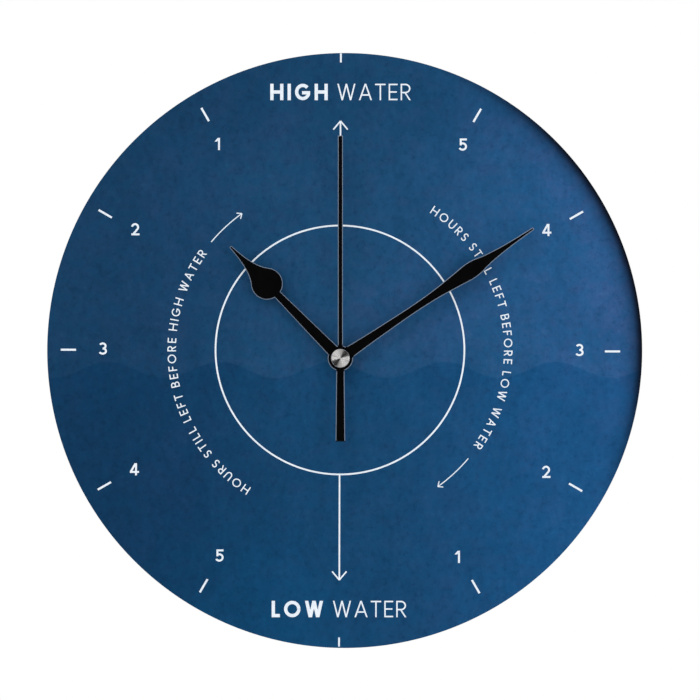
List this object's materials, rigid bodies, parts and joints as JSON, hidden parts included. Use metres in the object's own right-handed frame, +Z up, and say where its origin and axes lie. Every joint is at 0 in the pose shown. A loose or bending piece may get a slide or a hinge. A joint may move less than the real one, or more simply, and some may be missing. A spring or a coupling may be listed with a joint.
{
  "type": "tide clock",
  "caption": "Round wall clock with a flat blue tide dial, three black hands, a turned centre cap and a quartz movement with its gear train behind the board.",
  "frame": {"origin": "where the axis of the hands meets the wall, on the back face of the movement's cover", "axes": "+Z up, +Y into the wall, +X to the right as seen from the front; the dial faces -Y"},
  "size_m": [0.25, 0.0322, 0.2499],
  "materials": {
    "fibreboard": "raw brown fibreboard",
    "dial_print": "deep blue printed sheet, satin",
    "case_plastic": "black moulded plastic",
    "hanger_plastic": "black moulded plastic",
    "knob_plastic": "ivory moulded plastic",
    "gear_plastic": "white acetal",
    "brass": "turned brass",
    "gasket_rubber": "soft black rubber",
    "steel": "plain steel",
    "spring_steel": "nickel-plated spring strip",
    "laminate": "brown paper laminate",
    "resin": "black resin drop",
    "bobbin_plastic": "natural nylon",
    "copper": "enamelled copper wire",
    "iron": "soft iron lamination",
    "magnet": "sintered magnet",
    "cell_sleeve": "plain dark sleeve, bare metal ends",
    "hand_black": "black lacquered aluminium, bright cut edge",
    "cap_metal": "turned aluminium"
  },
  "bodies": {
    "clock": {"dial_plate": "fibreboard", "dial_print": "dial_print", "movement_case": "case_plastic", "back_cover": "case_plastic", "hanger_loop": "hanger_plastic", "threaded_bush": "brass", "rubber_gasket": "gasket_rubber", "flat_washer": "brass", "hex_nut": "brass", "train_bridge": "gear_plastic", "circuit_board": "laminate", "crystal_can": "steel", "chip_cover": "resin", "coil_bobbin": "bobbin_plastic", "coil_winding": "copper", "coil_core": "iron", "stator_plate": "iron", "positive_contact": "spring_steel", "negative_contact": "spring_steel"},
    "cell": {"battery_cell": "cell_sleeve"},
    "hour": {"hour_wheel": "gear_plastic", "hour_hand": "hand_black", "hour_hand_collet": "brass"},
    "minute": {"minute_tube": "brass", "clutch_spring": "spring_steel", "centre_wheel": "gear_plastic", "minute_hand": "hand_black", "minute_hand_collet": "brass"},
    "second": {"second_wheel": "gear_plastic", "second_shaft": "steel", "second_hand": "hand_black", "second_hand_cap": "cap_metal", "second_hand_collet": "brass"},
    "third": {"third_wheel": "gear_plastic"},
    "works": {"works_wheel": "gear_plastic"},
    "intermediate": {"intermediate_wheel": "gear_plastic"},
    "rotor": {"rotor_pinion": "gear_plastic", "rotor_magnet": "magnet"},
    "setter": {"setting_arbor": "gear_plastic", "setting_knob": "knob_plastic"}
  },
  "joints": [
    {"name": "minute_turn", "type": "hinge", "parent": "clock", "child": "minute", "pos_m": [0, -0.028, 0], "axis": [0, 1, 0], "continuous": true},
    {"name": "hour_turn", "type": "hinge", "parent": "clock", "child": "hour", "pos_m": [0, -0.026, 0], "axis": [0, 1, 0], "continuous": true},
    {"name": "second_turn", "type": "hinge", "parent": "clock", "child": "second", "pos_m": [0, -0.03, 0], "axis": [0, 1, 0], "continuous": true},
    {"name": "third_turn", "type": "hinge", "parent": "clock", "child": "third", "pos_m": [-0.01152, -0.008, 0], "axis": [0, 1, 0], "continuous": true},
    {"name": "works_turn", "type": "hinge", "parent": "clock", "child": "works", "pos_m": [0.006, -0.011, 0.01039], "axis": [0, 1, 0], "continuous": true},
    {"name": "intermediate_turn", "type": "hinge", "parent": "clock", "child": "intermediate", "pos_m": [-0.00175, -0.004, 0.00993], "axis": [0, 1, 0], "continuous": true},
    {"name": "rotor_turn", "type": "hinge", "parent": "clock", "child": "rotor", "pos_m": [-0.00904, -0.008, 0.01605], "axis": [0, 1, 0], "continuous": true},
    {"name": "setter_turn", "type": "hinge", "parent": "clock", "child": "setter", "pos_m": [0.01728, -0.007, 0.0145], "axis": [0, 1, 0], "continuous": true},
    {"name": "cell_slide", "type": "slide", "parent": "clock", "child": "cell", "axis": [0, 1, 0], "range_m": [0, 0.018]}
  ],
  "couplings": [
    {"joint": "hour_turn", "follows": "minute_turn", "ratio": 0.083333},
    {"joint": "second_turn", "follows": "minute_turn", "ratio": 60},
    {"joint": "third_turn", "follows": "minute_turn", "ratio": -8},
    {"joint": "works_turn", "follows": "minute_turn", "ratio": -0.33333},
    {"joint": "intermediate_turn", "follows": "minute_turn", "ratio": -300},
    {"joint": "rotor_turn", "follows": "minute_turn", "ratio": 1800},
    {"joint": "setter_turn", "follows": "minute_turn", "ratio": 1}
  ]
}
